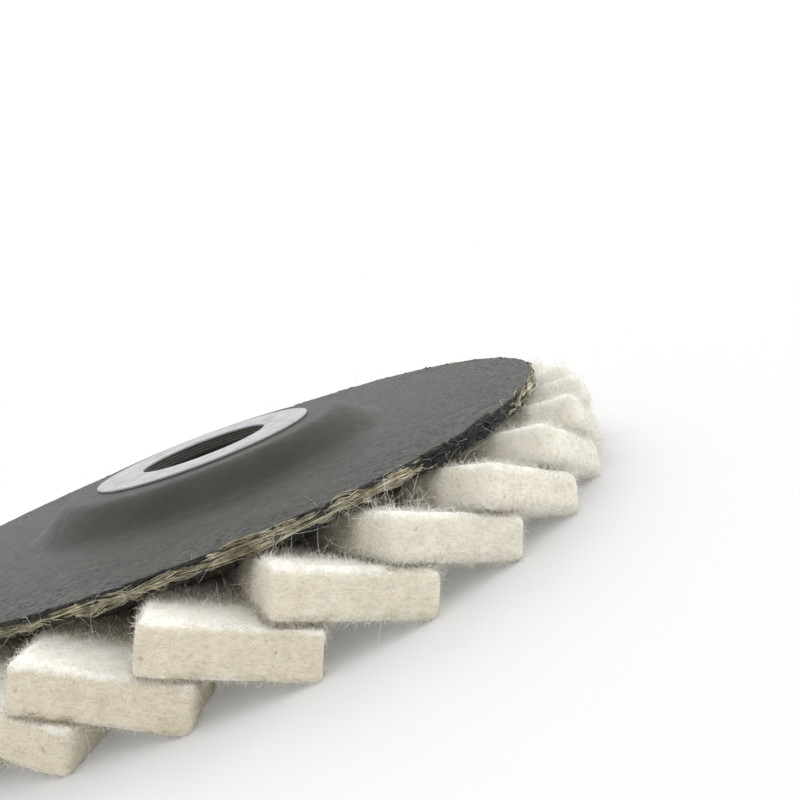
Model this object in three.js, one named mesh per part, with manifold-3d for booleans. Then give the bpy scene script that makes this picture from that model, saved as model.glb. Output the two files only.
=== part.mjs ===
// Felt flap polishing disc, 100 mm class, for an angle grinder with a 16 mm arbor.
//
// Twenty-eight blocks of wool felt lie shingled, like roof tiles, under a raised-hub
// backing plate. The plate is a laminate of resin-bonded glass cloth between two black
// skins, and a thin metal ring round the arbor hole takes the grinder's flange.
//
// Millimetres. +Z is the spin axis and points to the grinder side. The origin is on the
// axis at the working face, which is the plane through the lowest edges of the felt.

import * as THREE from 'three';
import { mergeVertices } from 'three/addons/utils/BufferGeometryUtils.js';
import Module from 'manifold-3d';

const { clamp, degToRad, lerp } = THREE.MathUtils;

// Backing plate: a flat rim round a raised hub.
const arborRadius = 8;
const hubFlatRadius = 17;
const hubFootRadius = 23.5;
const plateRadius = 42.2;
const hubRise = 3.05;

// The laminate, from the top down: skin, glass plies, skin.
const skinThickness = 0.15;
const plyThickness = 0.34;
const plyCount = 3;
const resinFilm = 0.02;

// Metal ring on the hub.
const ringRadius = 13.8;
const ringThickness = 0.3;

// Felt blocks. Each is as wide as its flap, leans sideways by its tilt, and is squeezed
// thinner towards the axis, where the blocks crowd together.
const flapCount = 28;
const flapInnerRadius = 27;
const flapOuterRadius = 47.4;
const flapWidth = 14.5;
const feltThickness = 4.1;
const innerTilt = degToRad(30);
const outerTilt = degToRad(26.2);
const flapChamfer = 0.45;
const flapGap = 0.35;
const flapSteps = 4;

// Adhesive that beds the felt under the plate.
const bedInnerRadius = 25.5;
const bedOuterRadius = 38.5;
const bedDepth = 1.7;
const bedClearance = 0.3;

// Turned pieces share one number of sides, a multiple of the number of flaps.
const turnedSides = 2 * flapCount;
const hubSteps = 4;

const flapPitch = (2 * Math.PI) / flapCount;
const laminateThickness = 2 * skinThickness + plyCount * plyThickness + (plyCount + 1) * resinFilm;
const flapTopEdge = -laminateThickness - bedClearance;

const blackSkin = new THREE.MeshStandardMaterial({ color: 0x4d4e4b, roughness: 0.55, metalness: 0 });
const glassLaminate = new THREE.MeshStandardMaterial({ color: 0x9a9175, roughness: 0.6, metalness: 0 });
const ringMetal = new THREE.MeshStandardMaterial({ color: 0xd4d6d8, roughness: 0.35, metalness: 0.7 });
const woolFelt = new THREE.MeshStandardMaterial({ color: 0xe2dccb, roughness: 1, metalness: 0 });
const epoxy = new THREE.MeshStandardMaterial({ color: 0x3a332a, roughness: 0.3, metalness: 0 });

// Heights in this section are measured from the top of the plate's flat rim.

// Height of the plate's top surface at a radius: level, a smooth cone, then level again.
function plateHeight(radius) {
  return hubRise * (1 - THREE.MathUtils.smoothstep(radius, hubFlatRadius, hubFootRadius));
}

// Radii at which the plate's section bends, from the arbor hole to the rim.
function plateRadii() {
  const radii = [arborRadius];
  for (let step = 0; step <= hubSteps; step += 1) {
    radii.push(lerp(hubFlatRadius, hubFootRadius, step / hubSteps));
  }
  radii.push(plateRadius);
  return radii;
}

// A turned solid about Z from a section in (radius, height) that closes on itself.
function turned(section) {
  const closed = [...section, section[0].clone()];
  const geometry = new THREE.LatheGeometry(closed, turnedSides);
  geometry.rotateX(Math.PI / 2);
  return geometry;
}

// One layer of the laminate: it follows the plate's shape between two depths below its top.
function layerGeometry(depth, thickness) {
  const radii = plateRadii();
  const lower = radii.map((r) => new THREE.Vector2(r, plateHeight(r) - depth - thickness));
  const upper = radii.map((r) => new THREE.Vector2(r, plateHeight(r) - depth));
  return turned([...lower, ...upper.reverse()]);
}

// A flat ring with a square section.
function ringGeometry(innerRadius, outerRadius, bottom, top) {
  return turned([
    new THREE.Vector2(innerRadius, bottom),
    new THREE.Vector2(outerRadius, bottom),
    new THREE.Vector2(outerRadius, top),
    new THREE.Vector2(innerRadius, top),
  ]);
}

// A rectangle with its corners cut, centred on the origin.
function chamferedRectangle(width, height, chamfer) {
  const x = width / 2;
  const y = height / 2;
  return new THREE.Shape([
    new THREE.Vector2(-x + chamfer, -y),
    new THREE.Vector2(x - chamfer, -y),
    new THREE.Vector2(x, -y + chamfer),
    new THREE.Vector2(x, y - chamfer),
    new THREE.Vector2(x - chamfer, y),
    new THREE.Vector2(-x + chamfer, y),
    new THREE.Vector2(-x, y - chamfer),
    new THREE.Vector2(-x, -y + chamfer),
  ]);
}

// The felt's thickness at a radius: full, or what the crowding leaves of it.
function squeezedThickness(radius, tilt) {
  const room = radius * Math.sin(flapPitch) * Math.sin(tilt);
  return Math.min(feltThickness, room - flapGap);
}

// Places a point of the straight block on the real one. `across` runs over the block's
// width and `through` over its thickness, both from its middle; +X is radial and +Y is
// tangential. The upper long edge stays level, just under the plate.
function bendFlapPoint(point, radius, across, through) {
  const outward = clamp((radius - flapInnerRadius) / (flapOuterRadius - flapInnerRadius), 0, 1);
  const tilt = lerp(innerTilt, outerTilt, outward);
  const thickness = squeezedThickness(radius, tilt);
  const depth = (through * thickness) / feltThickness;
  const middle = flapTopEdge - (flapWidth * Math.sin(tilt) + thickness * Math.cos(tilt)) / 2;
  point.set(
    radius,
    across * Math.cos(tilt) + depth * Math.sin(tilt),
    middle - across * Math.sin(tilt) + depth * Math.cos(tilt),
  );
}

// One felt block, grown on every side by `growth`.
function flapGeometry(growth = 0) {
  const section = chamferedRectangle(
    flapWidth + 2 * growth,
    feltThickness + 2 * growth,
    flapChamfer,
  );
  const length = flapOuterRadius - flapInnerRadius + 2 * growth;
  const geometry = new THREE.ExtrudeGeometry(section, {
    depth: length,
    steps: flapSteps,
    bevelEnabled: false,
  });
  const position = geometry.getAttribute('position');
  const point = new THREE.Vector3();
  for (let i = 0; i < position.count; i += 1) {
    point.fromBufferAttribute(position, i);
    bendFlapPoint(point, flapInnerRadius - growth + point.z, point.x, point.y);
    position.setXYZ(i, point.x, point.y, point.z);
  }
  geometry.deleteAttribute('normal');
  geometry.deleteAttribute('uv');
  const merged = mergeVertices(geometry);
  merged.computeVertexNormals();
  return merged;
}

const wasm = await Module();
wasm.setup();

function toManifold(geometry) {
  const bare = geometry.clone();
  bare.deleteAttribute('normal');
  bare.deleteAttribute('uv');
  const merged = mergeVertices(bare, 1e-4);
  return new wasm.Manifold(new wasm.Mesh({
    numProp: 3,
    vertProperties: new Float32Array(merged.getAttribute('position').array),
    triVerts: new Uint32Array(merged.index.array),
  }));
}

function toGeometry(manifold) {
  const mesh = manifold.getMesh();
  const geometry = new THREE.BufferGeometry();
  geometry.setAttribute('position', new THREE.BufferAttribute(mesh.vertProperties, 3));
  geometry.setIndex(new THREE.BufferAttribute(mesh.triVerts, 1));
  geometry.computeVertexNormals();
  return geometry;
}

// The adhesive is a shallow ring that fills the wedges between the plate and the felt.
function bedGeometry() {
  const top = -laminateThickness - resinFilm;
  let bed = toManifold(ringGeometry(bedInnerRadius, bedOuterRadius, top - bedDepth, top));
  const flap = flapGeometry(bedClearance);
  for (let i = 0; i < flapCount; i += 1) {
    bed = bed.subtract(toManifold(flap.clone().rotateZ(i * flapPitch)));
  }
  return toGeometry(bed);
}

function addMesh(parent, name, geometry, material) {
  const mesh = new THREE.Mesh(geometry, material.clone());
  mesh.name = name;
  parent.add(mesh);
  return mesh;
}

function addLaminate(parent) {
  let depth = 0;
  addMesh(parent, 'top_skin', layerGeometry(depth, skinThickness), blackSkin);
  depth += skinThickness + resinFilm;
  for (let ply = 1; ply <= plyCount; ply += 1) {
    addMesh(parent, `glass_ply_${ply}`, layerGeometry(depth, plyThickness), glassLaminate);
    depth += plyThickness + resinFilm;
  }
  addMesh(parent, 'bottom_skin', layerGeometry(depth, skinThickness), blackSkin);
}

function addRing(parent) {
  const bottom = hubRise + resinFilm;
  const geometry = ringGeometry(arborRadius, ringRadius, bottom, bottom + ringThickness);
  addMesh(parent, 'arbor_ring', geometry, ringMetal);
}

function addFlaps(parent) {
  for (let i = 0; i < flapCount; i += 1) {
    const name = `felt_flap_${String(i + 1).padStart(2, '0')}`;
    addMesh(parent, name, flapGeometry(), woolFelt).rotation.z = i * flapPitch;
  }
}

const disc = new THREE.Group();
addLaminate(disc);
addRing(disc);
addMesh(disc, 'adhesive_bed', bedGeometry(), epoxy);
addFlaps(disc);

// The disc is lifted until the lowest edges of its felt meet the working face.
const group = new THREE.Group();
group.add(disc);
disc.position.z = -new THREE.Box3().setFromObject(disc, true).min.z;

export default group;
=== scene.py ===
# A felt flap polishing disc lying felt side down on a pale floor. The CAD frame gives its
# sizes and places. Lengths are in millimetres until a mesh is made, which is in metres.
# The flaps round +X are the far ones, away from the camera. They are painted paler, as if more
# brightly lit, and are rounder and fluffier.

import itertools
import math

import bpy
import numpy as np
from mathutils import Matrix, Vector


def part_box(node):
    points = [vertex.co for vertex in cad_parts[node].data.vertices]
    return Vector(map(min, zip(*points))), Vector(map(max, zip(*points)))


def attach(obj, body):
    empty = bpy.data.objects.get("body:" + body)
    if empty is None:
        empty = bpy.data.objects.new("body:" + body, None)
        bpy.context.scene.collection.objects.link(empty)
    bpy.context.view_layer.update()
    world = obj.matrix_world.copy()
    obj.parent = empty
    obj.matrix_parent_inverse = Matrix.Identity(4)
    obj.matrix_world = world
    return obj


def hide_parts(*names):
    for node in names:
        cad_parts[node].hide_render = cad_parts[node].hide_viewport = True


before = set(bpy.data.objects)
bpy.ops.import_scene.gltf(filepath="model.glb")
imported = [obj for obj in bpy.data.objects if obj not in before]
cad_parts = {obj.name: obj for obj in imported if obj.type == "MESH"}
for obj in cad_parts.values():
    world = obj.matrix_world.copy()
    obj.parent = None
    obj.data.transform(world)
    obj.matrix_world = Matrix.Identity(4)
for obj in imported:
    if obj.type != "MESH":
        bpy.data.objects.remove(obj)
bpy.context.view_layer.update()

MM = 0.001
BODY = "root"
Z_AXIS = np.array([0.0, 0.0, 1.0])


def box_mm(node):
    """The lowest and highest corners of a CAD node."""
    return [np.array(corner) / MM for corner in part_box(node)]


# Plate
SKIN_THICKNESS = 0.15
HUB_FLAT_RADIUS = 17.0
HUB_FOOT_RADIUS = 23.5
# Where the hub's profile bends
HUB_RADII = [HUB_FLAT_RADIUS, 19.2, 21.4, HUB_FOOT_RADIUS]
ARBOR_RADIUS = 8.0
PLY_NODES = sorted(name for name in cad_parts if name.startswith("glass_ply"))
PLATE_RADIUS = box_mm("top_skin")[1][0]
PLATE_FLAT_TOP = box_mm("top_skin")[0][2] + SKIN_THICKNESS
PLATE_UNDERSIDE = box_mm("bottom_skin")[0][2]
HUB_RISE = box_mm("top_skin")[1][2] - PLATE_FLAT_TOP

# How far in from the bore and from the rim their ragged cuts reach
BORE_BAND = 0.8
RIM_BAND = 1.5
# How far the plies stand back from the rim, which the frayed strands fill
RIM_RECESS = 0.22
# Fibres that start outside the rim stay outside this radius
RIM_CLEAR = PLATE_RADIUS + 0.3
# Where black resin covers the cut glass: the middle of the stretch and half its length
RESIN_STRETCH = (math.radians(-51.5), math.radians(9.3))

# Felt
FLAP_NODES = sorted(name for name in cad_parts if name.startswith("felt_flap"))
FLAP_PITCH = 2 * math.pi / len(FLAP_NODES)
FLAP_INNER_RADIUS = box_mm(FLAP_NODES[0])[0][0]
FLAP_OUTER_RADIUS = box_mm(FLAP_NODES[0])[1][0]
FLAP_TOP_EDGE = PLATE_UNDERSIDE - 0.3
FLAP_WIDTH = 14.5
FELT_THICKNESS = 4.25
# What is left between two blocks where they crowd together
FELT_GAP = 0.05
INNER_TILT = math.radians(30)
OUTER_TILT = math.radians(26.2)
# Felt further in than this is hidden under the plate
SEEN_RADIUS = 36.0
# How far the felt stays off the floor, and how deep in the felt a fibre starts
FLOOR_CLEARANCE = 0.01
ROOT_DEPTH = 0.06
FIBRE_SIDES = 3
# How round a block's edges are: along the radius, across and through it
FELT_EDGE_RADII = np.array([0.6, 0.6, 0.62])
# The seed of each block's random draws, to which its number is added
FLAP_SEED = 100
# How far each block's free end has slid sideways, much as in the photograph with this seed
SLIDE_SEED = 52825
MOST_SLIDE = 0.5
FLAP_SLIDES = np.random.default_rng(SLIDE_SEED).uniform(-MOST_SLIDE, MOST_SLIDE, len(FLAP_NODES))


# ---------------------------------------------------------------------------- arithmetic

def unit(vectors):
    """The vectors at length 1."""
    return vectors / np.maximum(np.linalg.norm(vectors, axis=-1, keepdims=True), 1e-9)


def dot(a, b):
    """The dot product of each pair of vectors, as a column."""
    return np.sum(a * b, axis=-1, keepdims=True)


def smoothstep(value, low, high):
    """0 up to `low`, 1 from `high`, and a smooth rise between them."""
    share = np.clip((value - low) / (high - low), 0, 1)
    return share * share * (3 - 2 * share)


HASH_PRIMES = np.array([374761393, 668265263, 2246822519], np.uint32)
HASH_SEED_PRIME = 3266489917
HASH_MIXER = np.uint32(1274126177)
HASH_TOP = 0xFFFFFFFF


def hashed(cells, seed):
    """A number from 0 to 1 for each whole-numbered cell, the same on every run."""
    mixed = (cells.astype(np.uint32) * HASH_PRIMES).sum(axis=1, dtype=np.uint32)
    mixed = mixed + np.uint32(seed * HASH_SEED_PRIME % 2**32)
    mixed = (mixed ^ (mixed >> np.uint32(13))) * HASH_MIXER
    mixed = mixed ^ (mixed >> np.uint32(16))
    return mixed.astype(np.float64) / HASH_TOP


def noise(points, cell, seed):
    """Smooth noise from -1 to 1, with bumps about one cell across."""
    scaled = points / cell
    whole = np.floor(scaled).astype(np.int64)
    share = scaled - whole
    share = share * share * (3 - 2 * share)
    total = np.zeros(len(points))
    for corner in itertools.product((0, 1), repeat=3):
        weight = np.prod(np.where(corner, share, 1 - share), axis=1)
        total += weight * hashed(whole + np.array(corner), seed)
    return 2 * total - 1


def layered_noise(points, cell, seed):
    """Noise from -1 to 1 with finer and weaker bumps on the coarse ones."""
    scales = (1, 1 / 2, 1 / 4)
    layers = [s * noise(points, cell * s, seed + 17 * k) for k, s in enumerate(scales)]
    return sum(layers) / sum(scales)


def turned(points, angle):
    """The points turned about Z."""
    c, s = math.cos(angle), math.sin(angle)
    return points @ np.array([[c, s, 0], [-s, c, 0], [0, 0, 1]])


# ------------------------------------------------------------------------- mesh building

def new_piece(name, points, faces, materials, tints=None, attributes=None):
    """A smooth-shaded object from points in millimetres and faces that all have as many sides."""
    mesh = bpy.data.meshes.new(name)
    mesh.vertices.add(len(points))
    mesh.vertices.foreach_set("co", (points * MM).astype(np.float32).ravel())
    mesh.loops.add(faces.size)
    mesh.loops.foreach_set("vertex_index", faces.astype(np.int32).ravel())
    mesh.polygons.add(len(faces))
    starts = np.arange(0, faces.size, faces.shape[1], dtype=np.int32)
    mesh.polygons.foreach_set("loop_start", starts)
    mesh.polygons.foreach_set("use_smooth", np.ones(len(faces), bool))
    for material in materials:
        mesh.materials.append(material)
    if tints is not None:
        mesh.polygons.foreach_set("material_index", tints.astype(np.int32))
    for key, values in (attributes or {}).items():
        kind, field = ("FLOAT_VECTOR", "vector") if values.ndim == 2 else ("FLOAT", "value")
        layer = mesh.attributes.new(key, kind, "POINT")
        layer.data.foreach_set(field, values.astype(np.float32).ravel())
    mesh.update(calc_edges=True)
    piece = bpy.data.objects.new(name, mesh)
    bpy.context.scene.collection.objects.link(piece)
    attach(piece, BODY)
    return piece


def ring_quads(sides, steps):
    """Quads of a grid that closes on itself both ways, as on a turned ring."""
    i, j = np.meshgrid(np.arange(sides), np.arange(steps), indexing="ij")
    i_next = (i + 1) % sides
    j_next = (j + 1) % steps
    corners = (i * steps + j, i_next * steps + j, i_next * steps + j_next, i * steps + j_next)
    return np.stack(corners, axis=-1).reshape(-1, 4)


def box_surface(steps):
    """A box's surface as a grid with the given steps on each axis: points and outward quads."""
    points, quads, count = [], [], 0
    for axis, end in itertools.product(range(3), (0, -1)):
        second, third = (axis + 1) % 3, (axis + 2) % 3
        grid = np.zeros((len(steps[second]), len(steps[third]), 3))
        grid[..., axis] = steps[axis][end]
        grid[..., second] = steps[second][:, None]
        grid[..., third] = steps[third][None, :]
        index = np.arange(grid[..., 0].size).reshape(grid.shape[:2]) + count
        corners = [index[:-1, :-1], index[1:, :-1], index[1:, 1:], index[:-1, 1:]]
        if end == 0:
            corners.reverse()
        quads.append(np.stack(corners, axis=-1).reshape(-1, 4))
        points.append(grid.reshape(-1, 3))
        count += index.size
    merged, where = np.unique(np.round(np.concatenate(points), 6), axis=0, return_inverse=True)
    return merged, where.reshape(-1)[np.concatenate(quads)]


def tube_mesh(joints, radii, sides):
    """Closed tubes along rows of joints, with one radius for each joint.

    Returns the points, the triangles and how many triangles one tube has.
    """
    count, steps, _ = joints.shape
    ahead = unit(np.gradient(joints, axis=1))
    least = np.argmin(np.abs(ahead.mean(axis=1)), axis=1)
    right = unit(np.cross(ahead, np.eye(3)[least][:, None, :]))
    over = np.cross(right, ahead)
    turn = 2 * math.pi * np.arange(sides) / sides
    spokes = (
        right[:, :, None, :] * np.cos(turn)[:, None] + over[:, :, None, :] * np.sin(turn)[:, None]
    )
    points = joints[:, :, None, :] + spokes * radii[:, :, None, None]
    ring = np.arange(sides)
    following = (ring + 1) % sides
    walls = []
    for step in range(steps - 1):
        here, there = step * sides, (step + 1) * sides
        walls.append(np.stack([here + ring, here + following, there + following], axis=-1))
        walls.append(np.stack([here + ring, there + following, there + ring], axis=-1))
    last = (steps - 1) * sides
    for k in range(1, sides - 1):
        walls.append(np.array([[0, k + 1, k]]))
        walls.append(np.array([[last, last + k, last + k + 1]]))
    one = np.concatenate(walls)
    faces = (one[None] + (np.arange(count) * steps * sides)[:, None, None]).reshape(-1, 3)
    return points.reshape(-1, 3), faces, len(one)


# ----------------------------------------------------------------------------- materials

def new_material(name, **values):
    """A Principled material, its node tree and its shader.

    The values are set on the shader's own sockets: specular_ior_level is Specular IOR Level.
    """
    material = bpy.data.materials.new(name)
    material.use_nodes = True
    tree = material.node_tree
    shader = tree.nodes["Principled BSDF"]
    for key, value in values.items():
        socket = key.replace("_", " ").title().replace("Ior", "IOR")
        shader.inputs[socket].default_value = value
    return material, tree, shader


def add_node(tree, kind, inputs=(), **settings):
    """A shader node. Each input is a socket to link or a value to set."""
    node = tree.nodes.new("ShaderNode" + kind)
    for key, value in settings.items():
        setattr(node, key, value)
    for key, value in dict(inputs).items():
        if isinstance(value, bpy.types.NodeSocket):
            tree.links.new(value, node.inputs[key])
        else:
            node.inputs[key].default_value = value
    return node


def object_space(tree):
    """Coordinates in millimetres."""
    metres = add_node(tree, "TexCoord").outputs["Object"]
    return add_node(tree, "Mapping", {"Vector": metres, "Scale": [1 / MM] * 3}).outputs["Vector"]


def stretched(tree, space, stretch):
    """The same coordinates with noise in them drawn out along the axes."""
    scale = [1 / s for s in stretch]
    return add_node(tree, "Mapping", {"Vector": space, "Scale": scale}).outputs["Vector"]


def stored(tree, name, output="Fac"):
    """A value or vector that the mesh holds at each point."""
    return add_node(tree, "Attribute", attribute_name=name).outputs[output]


def noise_value(tree, space, cell, detail=3.0, roughness=0.55):
    """Noise from 0 to 1 whose bumps are about `cell` millimetres across."""
    inputs = {"Vector": space, "Scale": 1 / cell, "Detail": detail, "Roughness": roughness}
    return add_node(tree, "TexNoise", inputs).outputs["Fac"]


def ramp(tree, factor, *stops):
    """A colour ramp from (position, colour) stops."""
    node = add_node(tree, "ValToRGB", {"Fac": factor})
    elements = node.color_ramp.elements
    while len(elements) < len(stops):
        elements.new(0.5)
    for element, (position, colour) in zip(elements, stops):
        element.position = position
        element.color = (*colour, 1)
    return node.outputs["Color"]


def grey(value):
    """A grey, as a colour or as a plain number in a ramp."""
    return (value, value, value)


def mix(tree, factor, first, second, blend="MIX"):
    """Two colours blended by a factor. Each of the three is a socket or a value."""
    node = add_node(tree, "Mix", data_type="RGBA", blend_type=blend)
    # This node's factor is input 0, its colours are inputs 6 and 7, and its colour is output 2
    for index, value in ((0, factor), (6, first), (7, second)):
        if isinstance(value, bpy.types.NodeSocket):
            tree.links.new(value, node.inputs[index])
        elif index == 0:
            node.inputs[index].default_value = value
        else:
            node.inputs[index].default_value = (*value, 1)
    return node.outputs[2]


def arithmetic(tree, operation, first, second):
    """One sum of two values, each a socket or a number."""
    return add_node(tree, "Math", enumerate((first, second)), operation=operation).outputs[0]


def times(tree, first, second):
    """The product of two values, each a socket or a number."""
    return arithmetic(tree, "MULTIPLY", first, second)


def bump(tree, shader, *heights):
    """Stacks bumps, each (height, depth in millimetres), into the shader's normal."""
    normal = None
    for height, depth in heights:
        inputs = {"Height": height, "Distance": depth * MM, "Strength": 1.0}
        if normal is not None:
            inputs["Normal"] = normal
        normal = add_node(tree, "Bump", inputs).outputs["Normal"]
    tree.links.new(normal, shader.inputs["Normal"])


def skin_material():
    """Black resin-filled cloth, satin: orange peel, faint weave, dull pits painted dark as shade
    and small sheens painted light.
    """
    material, tree, shader = new_material(
        "black_skin", specular_ior_level=0.28, specular_tint=(1.0, 0.995, 0.94, 1)
    )
    space = object_space(tree)
    uneven = stored(tree, "unevenness")
    cloudy = noise_value(tree, space, 6)
    peel = noise_value(tree, space, 1.3, 2.0)
    pits = noise_value(tree, space, 0.7, 2.0)
    grains = noise_value(tree, space, 0.5, 2.0)
    dust = noise_value(tree, space, 0.22, 2.0)

    colour = ramp(tree, cloudy, (0.3, (0.023, 0.023, 0.018)), (0.7, (0.036, 0.036, 0.030)))
    dusty = ramp(tree, dust, (0.66, grey(0.0)), (0.8, grey(1.0)))
    colour = mix(tree, times(tree, dusty, 0.10), colour, (0.3, 0.3, 0.28))
    rough = ramp(tree, peel, (0.3, grey(0.44)), (0.7, grey(0.53)))

    # The cloth's threads, a little lighter where they stand up
    weave = []
    for direction in ("X", "Y"):
        inputs = {"Vector": space, "Scale": 0.19, "Distortion": 1.5, "Detail": 1.0}
        weave.append(add_node(tree, "TexWave", inputs, bands_direction=direction).outputs["Fac"])
    woven = arithmetic(tree, "MAXIMUM", *weave)
    raised_threads = ramp(tree, times(tree, woven, cloudy), (0.35, grey(0.0)), (0.65, grey(1.0)))
    raised_threads = times(tree, raised_threads, uneven)
    colour = mix(tree, times(tree, raised_threads, 0.4), colour, (0.052, 0.052, 0.044))

    # Low grains are dull and painted darker as shade, and high ones have a sheen, lower roughness
    # with a painted highlight in their colour, more in some patches than others
    low = ramp(tree, grains, (0.36, grey(1.0)), (0.43, grey(0.0)))
    high = ramp(tree, grains, (0.60, grey(0.0)), (0.68, grey(1.0)))
    patchy = ramp(tree, noise_value(tree, space, 4), (0.38, grey(0.35)), (0.6, grey(1.0)))
    marked = times(tree, patchy, uneven)
    marks = ((low, 0.78, (0.008, 0.008, 0.006)), (high, 0.37, (0.09, 0.09, 0.078)))
    for where, dullness, tint in marks:
        share = times(tree, where, marked)
        rough = mix(tree, share, rough, grey(dullness))
        colour = mix(tree, times(tree, share, 0.6), colour, tint)

    tree.links.new(rough, shader.inputs["Roughness"])
    tree.links.new(colour, shader.inputs["Base Color"])
    pitted = ramp(tree, pits, (0.25, grey(0.0)), (0.4, grey(1.0)))
    heights = ((peel, 0.11), (woven, 0.03), (pitted, 0.05), (grains, 0.07))
    bump(tree, shader, *((times(tree, height, uneven), depth) for height, depth in heights))
    return material


def laminate_material():
    """Cut glass cloth deep in dark resin: olive at the rim, smoother in the bore and painted
    darker there as shade.
    """
    material, tree, shader = new_material("glass_laminate", roughness=0.65)
    space = object_space(tree)
    grain = noise_value(tree, stretched(tree, space, (3, 3, 0.4)), 0.5, 4.0)
    patches = noise_value(tree, space, 2.5)
    olive = ramp(tree, patches, (0.35, (0.085, 0.079, 0.058)), (0.65, (0.155, 0.144, 0.106)))
    gaps = ramp(tree, grain, (0.42, grey(1.0)), (0.58, grey(0.0)))
    colour = mix(tree, gaps, olive, (0.040, 0.038, 0.029))
    # Darker and greyer where the plate is smooth, in the bore, as painted shade
    uneven = stored(tree, "unevenness")
    bore = ramp(tree, uneven, (0.1, grey(0.8)), (0.5, grey(0.0)))
    colour = mix(tree, bore, colour, (0.058, 0.057, 0.050))
    tree.links.new(colour, shader.inputs["Base Color"])
    bump(tree, shader, (times(tree, grain, uneven), 0.12))
    return material


def strand_material():
    """Frayed glass bundles at the cut rim, tan to olive, darker towards the underside, partly as
    painted shade.
    """
    material, tree, shader = new_material("glass_strands", roughness=0.55)
    space = object_space(tree)
    wide = noise_value(tree, space, 1.3)
    fine = noise_value(tree, space, 0.16)
    tan = ramp(
        tree, wide,
        (0.32, (0.26, 0.220, 0.130)), (0.5, (0.48, 0.430, 0.290)), (0.68, (0.68, 0.64, 0.48)),
    )
    # Darker towards the underside: partly darker resin there, partly painted shade under the rim
    height = add_node(tree, "SeparateXYZ", {"Vector": space}).outputs["Z"]
    low, high = PLATE_UNDERSIDE, PLATE_UNDERSIDE + 0.35
    lift = add_node(tree, "MapRange", {"Value": height, "From Min": low, "From Max": high})
    shade = ramp(tree, fine, (0.3, grey(0.6)), (0.6, grey(1.0)))
    depth = ramp(tree, lift.outputs["Result"], (0.0, grey(0.72)), (1.0, grey(1.0)))
    own = ramp(tree, stored(tree, "shade"), (0.0, grey(0.4)), (1.0, grey(1.35)))
    colour = mix(tree, 1.0, mix(tree, 1.0, tan, shade, "MULTIPLY"), depth, "MULTIPLY")
    tree.links.new(mix(tree, 1.0, colour, own, "MULTIPLY"), shader.inputs["Base Color"])
    bump(tree, shader, (fine, 0.03))
    return material


def fringe_material():
    """Torn black resin and cloth at the rim."""
    material, tree, shader = new_material("black_fringe", roughness=0.42, specular_ior_level=0.35)
    space = object_space(tree)
    fine = noise_value(tree, space, 0.3)
    black = ramp(tree, fine, (0.3, grey(0.008)), (0.7, grey(0.030)))
    tree.links.new(black, shader.inputs["Base Color"])
    bump(tree, shader, (fine, 0.06))
    return material


def ring_material():
    """Thin pale metal, satin, faintly smudged."""
    material, tree, shader = new_material("ring_metal", metallic=0.3, specular_ior_level=0.3)
    space = object_space(tree)
    smudges = noise_value(tree, space, 1.6, 4.0)
    colour = ramp(
        tree, smudges,
        (0.30, (0.31, 0.315, 0.328)), (0.42, (0.395, 0.40, 0.415)), (0.62, (0.43, 0.435, 0.45)),
    )
    tree.links.new(colour, shader.inputs["Base Color"])
    rough = ramp(tree, smudges, (0.3, grey(0.55)), (0.7, grey(0.36)))
    tree.links.new(rough, shader.inputs["Roughness"])
    bump(tree, shader, (noise_value(tree, space, 0.5), 0.012))
    return material


def adhesive_material():
    """Cured dark epoxy, lumpy, dulled by wool dust."""
    material, tree, shader = new_material("adhesive", specular_ior_level=0.3)
    space = object_space(tree)
    lumps = noise_value(tree, space, 1.1)
    dust = noise_value(tree, space, 0.3)
    colour = ramp(tree, lumps, (0.3, (0.026, 0.023, 0.016)), (0.7, (0.055, 0.049, 0.034)))
    dusty = ramp(tree, dust, (0.5, grey(0.0)), (0.7, grey(1.0)))
    colour = mix(tree, times(tree, dusty, 0.30), colour, (0.30, 0.27, 0.20))
    tree.links.new(colour, shader.inputs["Base Color"])
    rough = ramp(tree, lumps, (0.3, grey(0.6)), (0.7, grey(0.8)))
    tree.links.new(rough, shader.inputs["Roughness"])
    bump(tree, shader, (lumps, 0.3), (dust, 0.05))
    return material


def felt_material():
    """Pressed wool: white on its faces, beige and fibrous where it was cut, with painted shade
    and some dust.
    """
    material, tree, shader = new_material(
        "felt", roughness=0.95, sheen_weight=0.45, sheen_roughness=0.5, specular_ior_level=0.1
    )
    lay = stored(tree, "lay", "Vector")
    mottle = noise_value(tree, lay, 1.9, 3.0)
    strands = noise_value(tree, stretched(tree, lay, (1, 3.6, 1)), 0.22, 4.0, 0.65)
    fine = noise_value(tree, lay, 0.13, 2.0, 0.6)
    white = ramp(tree, mottle, (0.35, (0.87, 0.855, 0.785)), (0.6, (0.91, 0.90, 0.845)))
    beige = ramp(
        tree, mottle,
        (0.28, (0.68, 0.615, 0.475)), (0.42, (0.73, 0.672, 0.53)), (0.7, (0.78, 0.725, 0.59)),
    )
    wool = mix(tree, stored(tree, "cut"), white, beige)
    # Painted shade and some dust: brown under the plate's edge and where blocks touch
    dust_and_shade = times(tree, stored(tree, "dust_and_shade"), 0.8)
    wool = mix(tree, dust_and_shade, wool, (0.36, 0.30, 0.19))
    for pattern, dark in ((strands, (0.865, 0.84, 0.795)), (fine, (0.88, 0.86, 0.82))):
        shade = ramp(tree, pattern, (0.34, dark), (0.52, grey(1.0)))
        wool = mix(tree, 1.0, wool, shade, "MULTIPLY")
    inputs = {"Vector": lay, "Scale": 0.3, "Randomness": 1.0}
    specks = add_node(tree, "TexVoronoi", inputs).outputs["Distance"]
    spotted = ramp(tree, specks, (0.035, grey(1.0)), (0.075, grey(0.0)))
    wool = mix(tree, times(tree, spotted, 0.45), wool, (0.22, 0.16, 0.09))
    tree.links.new(wool, shader.inputs["Base Color"])
    bump(tree, shader, (mottle, 0.10), (strands, 0.09), (fine, 0.04))
    return material


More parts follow.
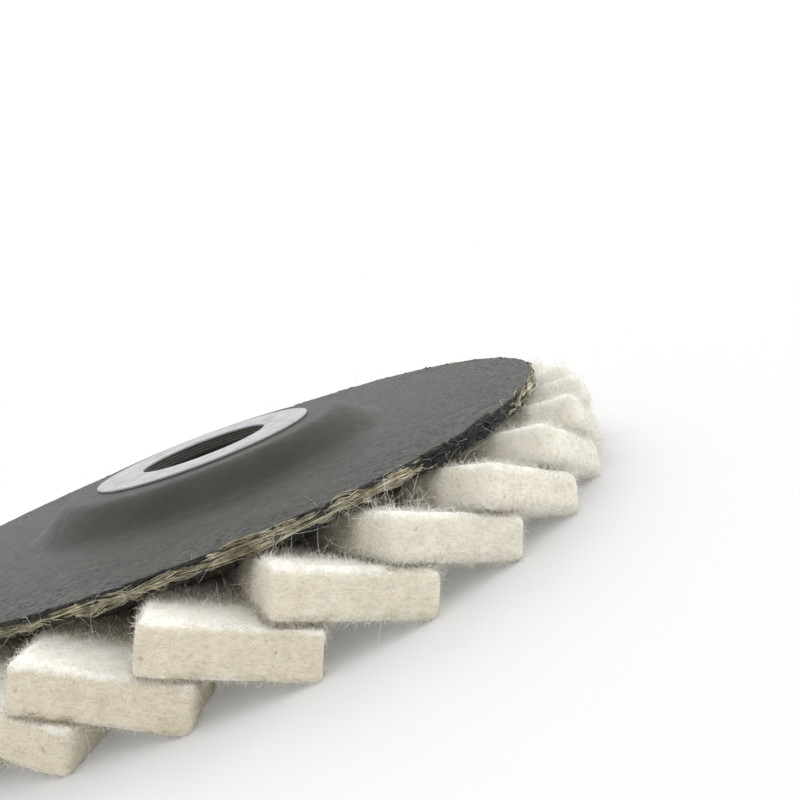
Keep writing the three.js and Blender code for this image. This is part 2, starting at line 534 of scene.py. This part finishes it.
def fibre_materials():
    """Single wool fibres, in the few tints that a fleece has."""
    tints = {
        "wool_white": (0.92, 0.91, 0.86),
        "wool_cream": (0.80, 0.75, 0.62),
        "wool_tan": (0.56, 0.48, 0.34),
    }
    materials = []
    for name, colour in tints.items():
        material, *_ = new_material(
            name, base_color=(*colour, 1), roughness=0.6, sheen_weight=0.3, specular_ior_level=0.3
        )
        materials.append(material)
    return materials


# ---------------------------------------------------------------------------------- felt

def tilt_at(radius):
    """How far a block leans over, a little less further out."""
    reach = FLAP_OUTER_RADIUS - FLAP_INNER_RADIUS
    outward = np.clip((radius - FLAP_INNER_RADIUS) / reach, 0, 1)
    return INNER_TILT + (OUTER_TILT - INNER_TILT) * outward


def thickness_at(radius, tilt, full):
    """The felt's thickness: full, or what its crowded neighbours leave of it."""
    return np.minimum(full, radius * math.sin(FLAP_PITCH) * np.sin(tilt) - FELT_GAP)


def middle_height(tilt, thickness):
    """The height of a block's middle when its top edge is under the plate."""
    return FLAP_TOP_EDGE - (FLAP_WIDTH * np.sin(tilt) + thickness * np.cos(tilt)) / 2


def bend(straight, full, lean):
    """Points of the straight block, (radius, across, through), where the real one has them."""
    radius, across, through = straight.T
    tilt = tilt_at(radius)
    thickness = thickness_at(radius, tilt, full)
    middle = middle_height(tilt, thickness)
    tilt = tilt + lean * smoothstep(radius, FLAP_INNER_RADIUS, FLAP_OUTER_RADIUS)
    depth = through * thickness / full
    return np.stack([
        radius,
        across * np.cos(tilt) + depth * np.sin(tilt),
        middle - across * np.sin(tilt) + depth * np.cos(tilt),
    ], axis=-1)


def inside_block(points, margin):
    """Whether points are in a plain block that lies along +X, grown by a margin."""
    tilt = tilt_at(points[:, 0])
    thickness = thickness_at(points[:, 0], tilt, FELT_THICKNESS)
    rise = points[:, 2] - middle_height(tilt, thickness)
    across = points[:, 1] * np.cos(tilt) - rise * np.sin(tilt)
    through = points[:, 1] * np.sin(tilt) + rise * np.cos(tilt)
    return (
        (np.abs(across) < FLAP_WIDTH / 2)
        & (np.abs(through) < thickness / 2 + margin)
        & (points[:, 0] < FLAP_OUTER_RADIUS)
    )


def near_neighbour(points, margin):
    """Whether points of a block that lies along +X are in a neighbour, grown by a margin."""
    sides = [inside_block(turned(points, side * FLAP_PITCH), margin) for side in (-1, 1)]
    return sides[0] | sides[1]


def block_steps(full):
    """Grid lines of the straight block: fine where it shows and coarse under the plate."""
    return [
        np.concatenate([
            np.arange(FLAP_INNER_RADIUS, SEEN_RADIUS, 0.8),
            np.linspace(SEEN_RADIUS, FLAP_OUTER_RADIUS, 46),
        ]),
        np.linspace(-FLAP_WIDTH / 2, FLAP_WIDTH / 2, 59),
        np.linspace(-full / 2, full / 2, 18),
    ]


def felt_block(index, far, rng):
    """One felt block along +X: points, quads, how much each point is cut felt, and its lay."""
    # Each block has its own thickness, lean and reach
    full = FELT_THICKNESS + rng.uniform(-0.15, 0.15)
    lean = math.radians(rng.uniform(-0.7, 0.7))
    reach = rng.uniform(-0.35, 0.3)
    grid, quads = box_surface(block_steps(full))

    # Edges rounded off, more on the far blocks
    centre = np.array([(FLAP_INNER_RADIUS + FLAP_OUTER_RADIUS) / 2, 0, 0])
    half = np.array([(FLAP_OUTER_RADIUS - FLAP_INNER_RADIUS) / 2, FLAP_WIDTH / 2, full / 2])
    eased = FELT_EDGE_RADII * (1 + 1.4 * far)
    offset = grid - centre
    core = np.clip(offset, eased - half, half - eased)
    outward = unit((offset - core) / eased)
    rounded = centre + core + outward * eased

    # The lay is where a point was in the straight block. Each block has its own stretch of noise.
    lay = rounded + 100.0 * index
    coarse = 0.2 * layered_noise(lay, cell=2.6, seed=5)
    lumps = coarse + 0.06 * layered_noise(lay, cell=0.6, seed=11)
    slack = smoothstep(rounded[:, 0], SEEN_RADIUS - 2, FLAP_OUTER_RADIUS - 2)
    rounded = rounded + outward * (lumps * (0.25 + 0.75 * slack))[:, None]

    # The two broad faces are pressed felt, and the others are cut felt with a ragged border
    through = np.abs(outward[:, 2])
    ragged = through + 0.22 * noise(lay, cell=1.0, seed=23) + 0.16 * noise(lay, cell=0.4, seed=29)
    # Far blocks are less beige: painted paler, as if more brightly lit
    cut = (1 - smoothstep(ragged, 0.15, 1.0)) * (1 - 0.7 * far)

    bent = bend(rounded, full, lean)
    for axis, shift in enumerate((reach, FLAP_SLIDES[index])):
        bent[:, axis] += shift * smoothstep(bent[:, 0], SEEN_RADIUS, FLAP_OUTER_RADIUS)
    bent[:, 2] = np.maximum(bent[:, 2], FLOOR_CLEARANCE)
    return bent, quads, cut, lay


def scatter(points, quads, weights, count, rng):
    """Random spots on the quads, with the quads' normals, by area and weight."""
    corners = points[quads]
    cross = np.cross(corners[:, 2] - corners[:, 0], corners[:, 3] - corners[:, 1])
    area = np.linalg.norm(cross, axis=1) * weights
    chosen = rng.choice(len(quads), count, p=area / area.sum())
    u, v = rng.random((2, count, 1))
    a, b, c, d = (corners[chosen, i] for i in range(4))
    spots = (a * (1 - u) + b * u) * (1 - v) + (d * (1 - u) + c * u) * v
    return spots, unit(cross[chosen]), chosen


def grow(roots, normals, lengths, lift, curl, steps, rng):
    """Fibres from their roots, as rows of joints. `lift` 1 stands up and 0 lies down."""
    count = len(roots)
    lying = rng.normal(size=(count, 3))
    lying = unit(lying - normals * dot(lying, normals))
    heading = unit(normals * lift[:, None] + lying * (1 - lift)[:, None])
    turning = rng.normal(size=(count, 3)) * curl
    joints = [roots - normals * ROOT_DEPTH]
    for _ in range(steps):
        joints.append(joints[-1] + heading * (lengths / steps)[:, None])
        turning = turning + rng.normal(size=(count, 3)) * curl * 0.5
        heading = unit(heading + turning)
        # A fibre hardly turns back into the felt
        sinking = np.minimum(dot(heading, normals), 0)
        heading = unit(heading - normals * sinking * 0.9)
    return np.stack(joints, axis=1)


def fibre_kinds(points, quads, cut, index):
    """The kinds of fibre on one block, each with how much of it every quad has."""
    corners = points[quads]
    centres = corners.mean(axis=1)
    radius = centres[:, 0]
    downward = np.cross(corners[:, 2] - corners[:, 0], corners[:, 3] - corners[:, 1])[:, 2] < 0
    cut_share = cut[quads].mean(axis=1)
    pressed = 1.1 - cut_share
    on_edge = (cut_share > 0.06 * cut.max()) * (cut_share < 0.94 * cut.max())

    # Few fibres where the plate hides them, and none where a neighbour lies on the felt
    hidden = np.where(downward, 0.25, 0.05)
    shown = np.where(radius < PLATE_RADIUS - 5.5, hidden, 1.0)
    shown = np.where(near_neighbour(centres, margin=0.12), 0.0, shown)
    past_plate = shown * (radius > PLATE_RADIUS)
    contact = past_plate * near_neighbour(centres, margin=0.9) * downward
    at_rim = shown * (np.abs(radius - PLATE_RADIUS - 0.6) < 2.2) * ~downward
    outside_rim = shown * (np.abs(radius - RIM_CLEAR - 1.2) < 1.1) * ~downward
    lower_edge = shown * on_edge * downward

    # Two blocks in three have a tuft at the rim, and one in eight has a tangle
    has_tuft, has_tangle = index % 3 > 0, index % 8 == 7
    # name: (count, where, length, lift, curl, steps, radius of a fibre)
    return {
        "nap": (2500, shown * pressed, (0.2, 0.75), (0.25, 0.8), 0.55, 2, 0.016),
        "mat": (1300, shown * (0.1 + cut_share), (0.4, 1.3), (0.02, 0.36), 0.45, 3, 0.016),
        "edge": (1000, shown * on_edge, (0.3, 0.9), (0.3, 0.9), 0.50, 3, 0.016),
        "contact": (450, contact, (0.4, 1.2), (0.2, 0.8), 0.50, 4, 0.015),
        "lower_edge": (500, lower_edge, (0.25, 0.8), (0.1, 0.7), 0.50, 3, 0.015),
        "hanging": (60, lower_edge, (1.0, 2.4), (0.05, 0.4), 0.35, 8, 0.012),
        "long_nap": (90, shown * pressed, (1.0, 3.0), (0.2, 0.7), 0.60, 9, 0.012),
        "curls": (50 + 60 * has_tuft, at_rim, (1.2, 3.6), (0.3, 0.8), 0.55, 12, 0.011),
        "tangle": (2 + 60 * has_tangle, outside_rim, (2.5, 6.0), (0.35, 0.8), 0.45, 18, 0.014),
        "strays": (3, past_plate, (4.0, 11.0), (0.3, 0.7), 0.10, 14, 0.012),
    }


def kept_clear(joints):
    """The joints of fibres, moved off the floor and out of the plate.

    Above the plate's underside, a fibre that starts outside the rim stays outside it.
    """
    away = np.linalg.norm(joints[..., :2], axis=-1)
    within = away < RIM_CLEAR
    inwards = (away[:, :1] > RIM_CLEAR) & within & (joints[..., 2] > PLATE_UNDERSIDE)
    joints[..., :2] *= np.where(inwards, RIM_CLEAR / away, 1)[..., None]
    ceiling = np.where(within & ~inwards, PLATE_UNDERSIDE - 0.05, PLATE_FLAT_TOP + 0.3)
    joints[..., 2] = np.clip(joints[..., 2], 0.03, ceiling)
    return joints


def warm_share(roots, normals, cut_share):
    """How likely fibres are to be cream or tan: more so on cut felt, and on the underside and by
    the plate as painted shade with some real tan.
    """
    near_plate = 1 - smoothstep(roots[:, 0], PLATE_RADIUS - 1, PLATE_RADIUS + 1.2)
    return 0.1 + 0.4 * cut_share + 0.6 * (normals[:, 2] < -0.2) + 0.7 * near_plate


def fibres_of(points, quads, cut, index, far, rng):
    """One block's wool fibres: points, triangles and each triangle's tint.

    `far` is 0 on the near blocks and 1 on the farthest, whose fibres are painted paler, as if
    more brightly lit, and whose short fibres are longer.
    """
    cut_share = cut[quads].mean(axis=1)
    all_points, all_faces, all_tints, offset = [], [], [], 0
    for name, kind in fibre_kinds(points, quads, cut, index).items():
        count, where, length, lift, curl, steps, thin = kind
        roots, normals, chosen = scatter(points, quads, where, count, rng)
        lengths = rng.uniform(*length, count) * (1 + 0.45 * far if length[0] < 1 else 1)
        lifts = rng.uniform(*lift, count)
        joints = grow(roots, normals, lengths, lifts, curl, steps, rng)
        radii = thin * rng.uniform(0.8, 1.25, (count, 1)) * np.linspace(1, 0.45, steps + 1)
        made, faces, per_fibre = tube_mesh(kept_clear(joints), radii, FIBRE_SIDES)

        # Contact fibres are made warmer as painted shade where blocks touch
        warmth = warm_share(roots, normals, cut_share[chosen]) + 1.0 * (name == "contact")
        # Far blocks' fibres are painted paler, as if more brightly lit
        warmth = warmth * (1 - 0.6 * far) * (0.3 if length[0] > 2 else 1)
        draw = rng.random(count)
        tints = (draw < warmth).astype(int) + (draw < 0.3 * warmth * warmth)

        all_points.append(made)
        all_faces.append(faces + offset)
        all_tints.append(np.repeat(tints, per_fibre))
        offset += len(made)
    return np.concatenate(all_points), np.concatenate(all_faces), np.concatenate(all_tints)


def make_felt(felt, wool):
    """Every felt block and its fibres, made along +X and turned to its place."""
    for index, node in enumerate(FLAP_NODES):
        rng = np.random.default_rng(FLAP_SEED + index)
        number = node.rsplit("_", 1)[-1]
        angle = index * FLAP_PITCH
        # 1 at +X, on the photograph's far side, and 0 all over the near side
        far = max(0, math.cos(angle))
        points, quads, cut, lay = felt_block(index, far, rng)

        # Painted shade with some dust where the felt goes in under the plate, less on the far
        # blocks, and painted brown contact shade where blocks touch
        edge = points[:, 0] + 0.8 * noise(lay, cell=0.9, seed=47) - PLATE_RADIUS
        dust_and_shade = (1 - smoothstep(edge, -2.2, 0.5)) * (1 - 0.7 * far)
        dust_and_shade = dust_and_shade * smoothstep(points[:, 2], 3.5, 6.5)
        touching = near_neighbour(points, margin=0.55) * (points[:, 0] > PLATE_RADIUS - 2)
        dust_and_shade = np.maximum(dust_and_shade, touching * (0.55 + 0.45 * noise(lay, cell=0.7, seed=53)))

        block = new_piece(
            f"felt_block_{number}", turned(points, angle), quads, [felt],
            attributes={"cut": cut, "lay": lay, "dust_and_shade": dust_and_shade},
        )
        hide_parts(node)
        fibres, faces, tints = fibres_of(points, quads, cut, index, far, rng)
        new_piece(f"felt_fibres_{number}", turned(fibres, angle), faces, wool, tints)


# --------------------------------------------------------------------------------- plate

def plate_height(radius):
    """The height of the plate's top: the flat, and the hub that rises from it."""
    return PLATE_FLAT_TOP + HUB_RISE * (1 - smoothstep(radius, HUB_FLAT_RADIUS, HUB_FOOT_RADIUS))


def around(angle, radius=PLATE_RADIUS):
    """Points on a circle, for noise that runs round it without a seam."""
    return np.stack([radius * np.cos(angle), radius * np.sin(angle), 0 * angle], axis=-1)


def rim_drift(angle):
    """The slow part of how far the cut rim strays from its circle."""
    return 0.13 * layered_noise(around(angle), cell=7, seed=31)


def rim_wobble(angle, seed):
    """How far one layer's cut rim strays from its circle."""
    return rim_drift(angle) + 0.12 * layered_noise(around(angle), cell=0.9, seed=seed)


def resin_cover(angle):
    """How far black resin hides the glass at the cut rim, from 0 to 1."""
    patches = smoothstep(noise(around(angle), cell=8, seed=37), 0.5, 0.65)
    middle, half = RESIN_STRETCH
    away = np.abs((angle - middle + math.pi) % (2 * math.pi) - math.pi)
    return np.maximum(patches * (away > 3 * half), 1 - smoothstep(away, half, half * 1.15))


def make_layer(name, node, depth, thickness, material, sides, seed, radii, relief=0.0):
    """One layer of the laminate, with a ragged rim and, where it shows, an uneven face.

    `depth` is how far its top is under the plate's top, and `radii` are where the top bends.
    """
    angle = 2 * math.pi * np.arange(sides) / sides
    upper = np.asarray(radii)
    lower = np.concatenate([upper[:1], HUB_RADII, upper[-1:]])
    profile = np.concatenate([upper, lower[::-1]])
    rim_share = smoothstep(profile, PLATE_RADIUS - RIM_BAND, PLATE_RADIUS)
    bore_share = 1 - smoothstep(profile, ARBOR_RADIUS, ARBOR_RADIUS + BORE_BAND)
    wobble = rim_wobble(angle, seed)
    in_bore = around(angle, ARBOR_RADIUS)
    bore_wobble = 0.05 * layered_noise(in_bore, cell=0.8, seed=seed + 5) + 0.06
    radius = profile + wobble[:, None] * rim_share + bore_wobble[:, None] * bore_share
    points = np.stack([
        radius * np.cos(angle)[:, None],
        radius * np.sin(angle)[:, None],
        np.broadcast_to(plate_height(profile) - depth, radius.shape),
    ], axis=-1)
    points[:, len(upper):, 2] -= thickness
    points = points.reshape(-1, 3)

    # The hub is smooth, and the plate gets rougher outwards and most of all by the rim
    unevenness = (
        0.05 + 0.35 * smoothstep(profile, HUB_FOOT_RADIUS + 2, HUB_FOOT_RADIUS + 9)
        + 0.58 * smoothstep(profile, PLATE_RADIUS - 9, PLATE_RADIUS - 1)
    )
    if relief:
        fine = layered_noise(points, cell=1.5, seed=seed)
        rise = fine + 0.8 * layered_noise(points, cell=5, seed=seed + 3)
        on_top = np.where(np.arange(len(profile)) < len(upper), relief * unevenness, 0)
        points[:, 2] += rise * np.tile(on_top, sides)
    piece = new_piece(
        name, points, ring_quads(sides, len(profile)), [material],
        attributes={"unevenness": np.tile(unevenness, sides)},
    )
    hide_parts(node)


def make_plate(skin, laminate):
    """The plate's five layers. Only the top skin is modelled finely all over."""
    bends = [ARBOR_RADIUS, ARBOR_RADIUS + BORE_BAND, *HUB_RADII, PLATE_RADIUS - RIM_BAND]
    fine = np.concatenate([
        np.linspace(ARBOR_RADIUS, PLATE_RADIUS - RIM_BAND, 84),
        np.linspace(PLATE_RADIUS - 1.2, PLATE_RADIUS, 5),
    ])
    make_layer(
        "plate_top_skin", "top_skin", 0, SKIN_THICKNESS, skin,
        sides=860, seed=41, radii=fine, relief=0.05,
    )
    top = PLATE_FLAT_TOP + HUB_RISE
    for count, node in enumerate(PLY_NODES):
        low, high = box_mm(node)
        make_layer(
            f"plate_{node}", node, top - high[2], high[2] - low[2] - HUB_RISE, laminate,
            sides=1400, seed=50 + 7 * count, radii=bends + [PLATE_RADIUS - RIM_RECESS],
        )
    make_layer(
        "plate_bottom_skin", "bottom_skin", top - box_mm("bottom_skin")[1][2],
        SKIN_THICKNESS, skin, sides=1400, seed=83, radii=bends + [PLATE_RADIUS - 0.05],
    )


def rim_strands(name, materials, seed, bundles, strands, look):
    """Short strands in bundles that lie along the cut rim, some lifting out of it.

    `look` gives their levels and the spread about them, their length and radii, how far `out`
    of the rim they lie, how `wild` they are, how wide a bundle is, and `within` which angles
    they start. The last of the materials is black resin.
    """
    rng = np.random.default_rng(seed)
    steps = 8
    count = bundles * strands
    start = rng.uniform(*look.get("within", (0, 2 * math.pi)), bundles)
    lengths = rng.uniform(*look["length"], bundles)
    phase = rng.uniform(0, 2 * math.pi, (2, bundles, 1))
    pace = rng.uniform(0.6, 1.8, (bundles, 1))
    along = np.linspace(-0.5, 0.5, steps + 1)
    angle = start[:, None] + lengths[:, None] * along / PLATE_RADIUS
    level = rng.choice(look["levels"], bundles) + rng.normal(0, look["spread"], bundles)
    wild = look["wild"]
    wave = rng.normal(0, wild, (bundles, 1)) * np.sin(2 * math.pi * pace * along + phase[0])
    slope = rng.normal(0, wild, bundles)[:, None] * 2 * along
    height = level[:, None] + slope + wave
    out = rng.uniform(*look["out"], bundles)[:, None]
    drift = rim_drift(angle.ravel()).reshape(angle.shape)
    radius = PLATE_RADIUS + drift + out + 0.7 * wave * np.cos(phase[1])

    # Each strand goes its own way a little
    angle, height, radius = (np.repeat(row, strands, axis=0) for row in (angle, height, radius))
    stray = np.cumsum(rng.normal(0, wild * 0.3, (2, count, steps + 1)), axis=2)
    height = height + rng.normal(0, look["bundle"], (count, 1)) + stray[0]
    radius = radius + rng.normal(0, look["bundle"] * 0.5, (count, 1)) + stray[1]
    joints = np.stack([radius * np.cos(angle), radius * np.sin(angle), height], axis=-1)
    taper = 0.4 + 0.6 * np.sin(math.pi * np.linspace(0.08, 0.92, steps + 1))
    radii = rng.uniform(*look["radii"], (count, 1)) * taper
    points, faces, per_strand = tube_mesh(joints, radii, sides=4)
    covered = resin_cover(angle[:, steps // 2]) > rng.random(count)
    tints = np.repeat(covered.astype(int) * (len(materials) - 1), per_strand)
    shade = np.repeat(rng.random(count), len(points) // count)
    new_piece(name, points, faces, materials, tints, {"shade": shade})


def ply_middle(node):
    """The height of a ply's middle in the flat part of the plate."""
    low, high = box_mm(node)
    return (low[2] + (high[2] - HUB_RISE)) / 2


def make_rim():
    """What frays out of the cut rim: glass bundles, and torn black resin above and below them."""
    fringe = fringe_material()
    upper, middle, lower = (ply_middle(node) for node in PLY_NODES)
    glass = {
        "levels": [upper, middle, lower + 0.06, lower - 0.10], "spread": 0.10,
        "length": (1.6, 6.5), "radii": (0.03, 0.065),
        "out": (-0.15, 0.14), "wild": 0.12, "bundle": 0.06,
    }
    rim_strands(
        "rim_glass_strands", [strand_material(), fringe],
        seed=7, bundles=560, strands=5, look=glass,
    )
    torn = {
        "levels": [PLATE_FLAT_TOP - s for s in (0.22, 0.17, 0.12)] + [PLATE_UNDERSIDE + 0.03],
        "spread": 0.03, "length": (0.4, 2.0), "radii": (0.03, 0.12),
        "out": (-0.20, 0.17), "wild": 0.045, "bundle": 0.04,
    }
    rim_strands(
        "rim_black_threads", [fringe], seed=8, bundles=750, strands=2, look=torn
    )
    middle, half = RESIN_STRETCH
    lumps = {
        "levels": [PLATE_FLAT_TOP - 0.2, PLATE_FLAT_TOP - 0.6, PLATE_UNDERSIDE + 0.25],
        "spread": 0.10, "length": (0.6, 2.6), "radii": (0.08, 0.2),
        "out": (-0.2, 0.16), "wild": 0.09, "bundle": 0.1,
        "within": (middle - half, middle + half),
    }
    rim_strands(
        "rim_resin_lumps", [fringe], seed=9, bundles=130, strands=2, look=lumps
    )


def make_lint(wool):
    """Loose wool fibres that cling to the cut rim."""
    rng = np.random.default_rng(10)
    count, steps = 100, 14
    angle = rng.uniform(0, 2 * math.pi, count)
    roots = around(angle, PLATE_RADIUS - 0.1)
    roots[:, 2] = rng.uniform(PLATE_FLAT_TOP - 0.7, PLATE_FLAT_TOP, count)
    normals = unit(around(angle, 1.0) + 0.7 * Z_AXIS)
    lift = rng.uniform(0.0, 0.25, count)
    joints = grow(roots, normals, rng.uniform(0.8, 3.2, count), lift, 0.5, steps, rng)
    radii = 0.014 * rng.uniform(0.8, 1.2, (count, 1)) * np.linspace(1, 0.5, steps + 1)
    points, faces, per_fibre = tube_mesh(joints, radii, FIBRE_SIDES)
    tints = np.repeat(rng.choice(3, count, p=(0.5, 0.4, 0.1)), per_fibre)
    new_piece("rim_lint", points, faces, wool, tints)


def make_ring():
    """The thin metal ring on the hub, with its edges eased."""
    low, high = box_mm("arbor_ring")
    bottom, top = low[2], high[2]
    inner, outer = ARBOR_RADIUS, high[0]
    sides, ease, flat = 256, 0.07, 0.5
    profile = np.array([
        (inner, bottom),
        (outer, bottom),
        (outer, top - ease),
        (outer - ease * 0.3, top - ease * 0.3),
        (outer - ease, top),
        (outer - flat, top),
        (inner + flat, top),
        (inner + ease, top),
        (inner + ease * 0.3, top - ease * 0.3),
        (inner, top - ease),
    ])
    angle = 2 * math.pi * np.arange(sides) / sides
    points = np.stack([
        np.cos(angle)[:, None] * profile[:, 0],
        np.sin(angle)[:, None] * profile[:, 0],
        np.broadcast_to(profile[:, 1], (sides, len(profile))),
    ], axis=-1).reshape(-1, 3)
    quads = ring_quads(sides, len(profile))
    piece = new_piece("arbor_ring_plate", points, quads, [ring_material()])
    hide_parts("arbor_ring")


def vertex_values(mesh, key):
    """A vector that Blender has for each vertex of a mesh, one row for each."""
    values = np.empty(3 * len(mesh.vertices))
    mesh.vertices.foreach_get(key, values)
    return values.reshape(-1, 3)


def make_adhesive():
    """The glue bed between the felt and the plate: the CAD shape, softened and lumpy."""
    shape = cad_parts["adhesive_bed"].data.copy()
    rough = bpy.data.objects.new("adhesive_rough", shape)
    bpy.context.scene.collection.objects.link(rough)
    remesh = rough.modifiers.new("remesh", "REMESH")
    remesh.mode = "VOXEL"
    remesh.voxel_size = 0.38 * MM
    smooth = rough.modifiers.new("smooth", "SMOOTH")
    smooth.iterations = 6
    smooth.factor = 0.5
    made = rough.evaluated_get(bpy.context.evaluated_depsgraph_get()).to_mesh()
    points = vertex_values(made, "co") / MM
    lumps = layered_noise(points, cell=1.6, seed=61)
    points += vertex_values(made, "normal") * 0.22 * lumps[:, None]
    points[:, 2] = np.minimum(points[:, 2], PLATE_UNDERSIDE - 0.02)
    faces = np.empty(len(made.loops), np.int32)
    made.loops.foreach_get("vertex_index", faces)
    quads = faces.reshape(-1, 4)
    new_piece("adhesive_lumps", points, quads, [adhesive_material()])
    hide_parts("adhesive_bed")
    bpy.data.objects.remove(rough)


# ------------------------------------------------------------- floor, lights and camera

def make_floor():
    """A plain pale floor, faintly lit by itself so that shadows stay soft and pale."""
    bpy.ops.mesh.primitive_plane_add(size=60.0, location=(0, 0, 0))
    floor = bpy.context.object
    floor.name = "floor"
    material, *_ = new_material(
        "floor", base_color=(0.575, 0.575, 0.575, 1), roughness=0.9, specular_ior_level=0.0,
        emission_color=(1, 1, 1, 1), emission_strength=0.15,
    )
    floor.data.materials.append(material)


def sun_light(name, azimuth, elevation, spread, strength):
    """A broad, even light from far away, which reflections don't show. Angles in degrees."""
    light = bpy.data.lights.new(name, "SUN")
    light.angle = math.radians(spread)
    light.energy = strength
    lamp = bpy.data.objects.new(name, light)
    bpy.context.scene.collection.objects.link(lamp)
    lamp.rotation_euler = (0, math.radians(90 - elevation), math.radians(azimuth))
    lamp.visible_glossy = False


def make_lights():
    """White light from all round, and two broad lights that give the shadows a direction."""
    world = bpy.data.worlds.new("studio")
    bpy.context.scene.world = world
    world.use_nodes = True
    background = world.node_tree.nodes["Background"]
    background.inputs["Color"].default_value = (1, 1, 1, 1)
    background.inputs["Strength"].default_value = 1.12
    sun_light("key", azimuth=88, elevation=33, spread=44, strength=1.25)
    sun_light("side", azimuth=8, elevation=24, spread=40, strength=1.1)
    bpy.context.scene.view_settings.view_transform = "Standard"


# From the middle of the plate's flat top
CAMERA_FROM_PLATE = np.array([8.8, -115.3, 16.9])
AIM_FROM_PLATE = np.array([25.9, 1.0, 0.0])
CAMERA_ROLL = math.radians(-19.46)
LENS = 40.2


def make_camera():
    """A camera low over the near side of the disc and rolled, as in the photograph."""
    plate = Z_AXIS * PLATE_FLAT_TOP
    place = Vector((plate + CAMERA_FROM_PLATE) * MM)
    aim = Vector((plate + AIM_FROM_PLATE) * MM)
    data = bpy.data.cameras.new("camera")
    data.lens = LENS
    data.sensor_width = 36
    data.clip_start = 0.005
    camera = bpy.data.objects.new("camera", data)
    bpy.context.scene.collection.objects.link(camera)
    level = (aim - place).to_track_quat("-Z", "Y").to_matrix()
    rolled = level @ Matrix.Rotation(CAMERA_ROLL, 3, "Z")
    camera.matrix_world = Matrix.Translation(place) @ rolled.to_4x4()
    bpy.context.scene.camera = camera


make_camera()
make_floor()
make_lights()
make_plate(skin_material(), laminate_material())
make_rim()
make_ring()
make_adhesive()
wool_tints = fibre_materials()
make_felt(felt_material(), wool_tints)
make_lint(wool_tints)
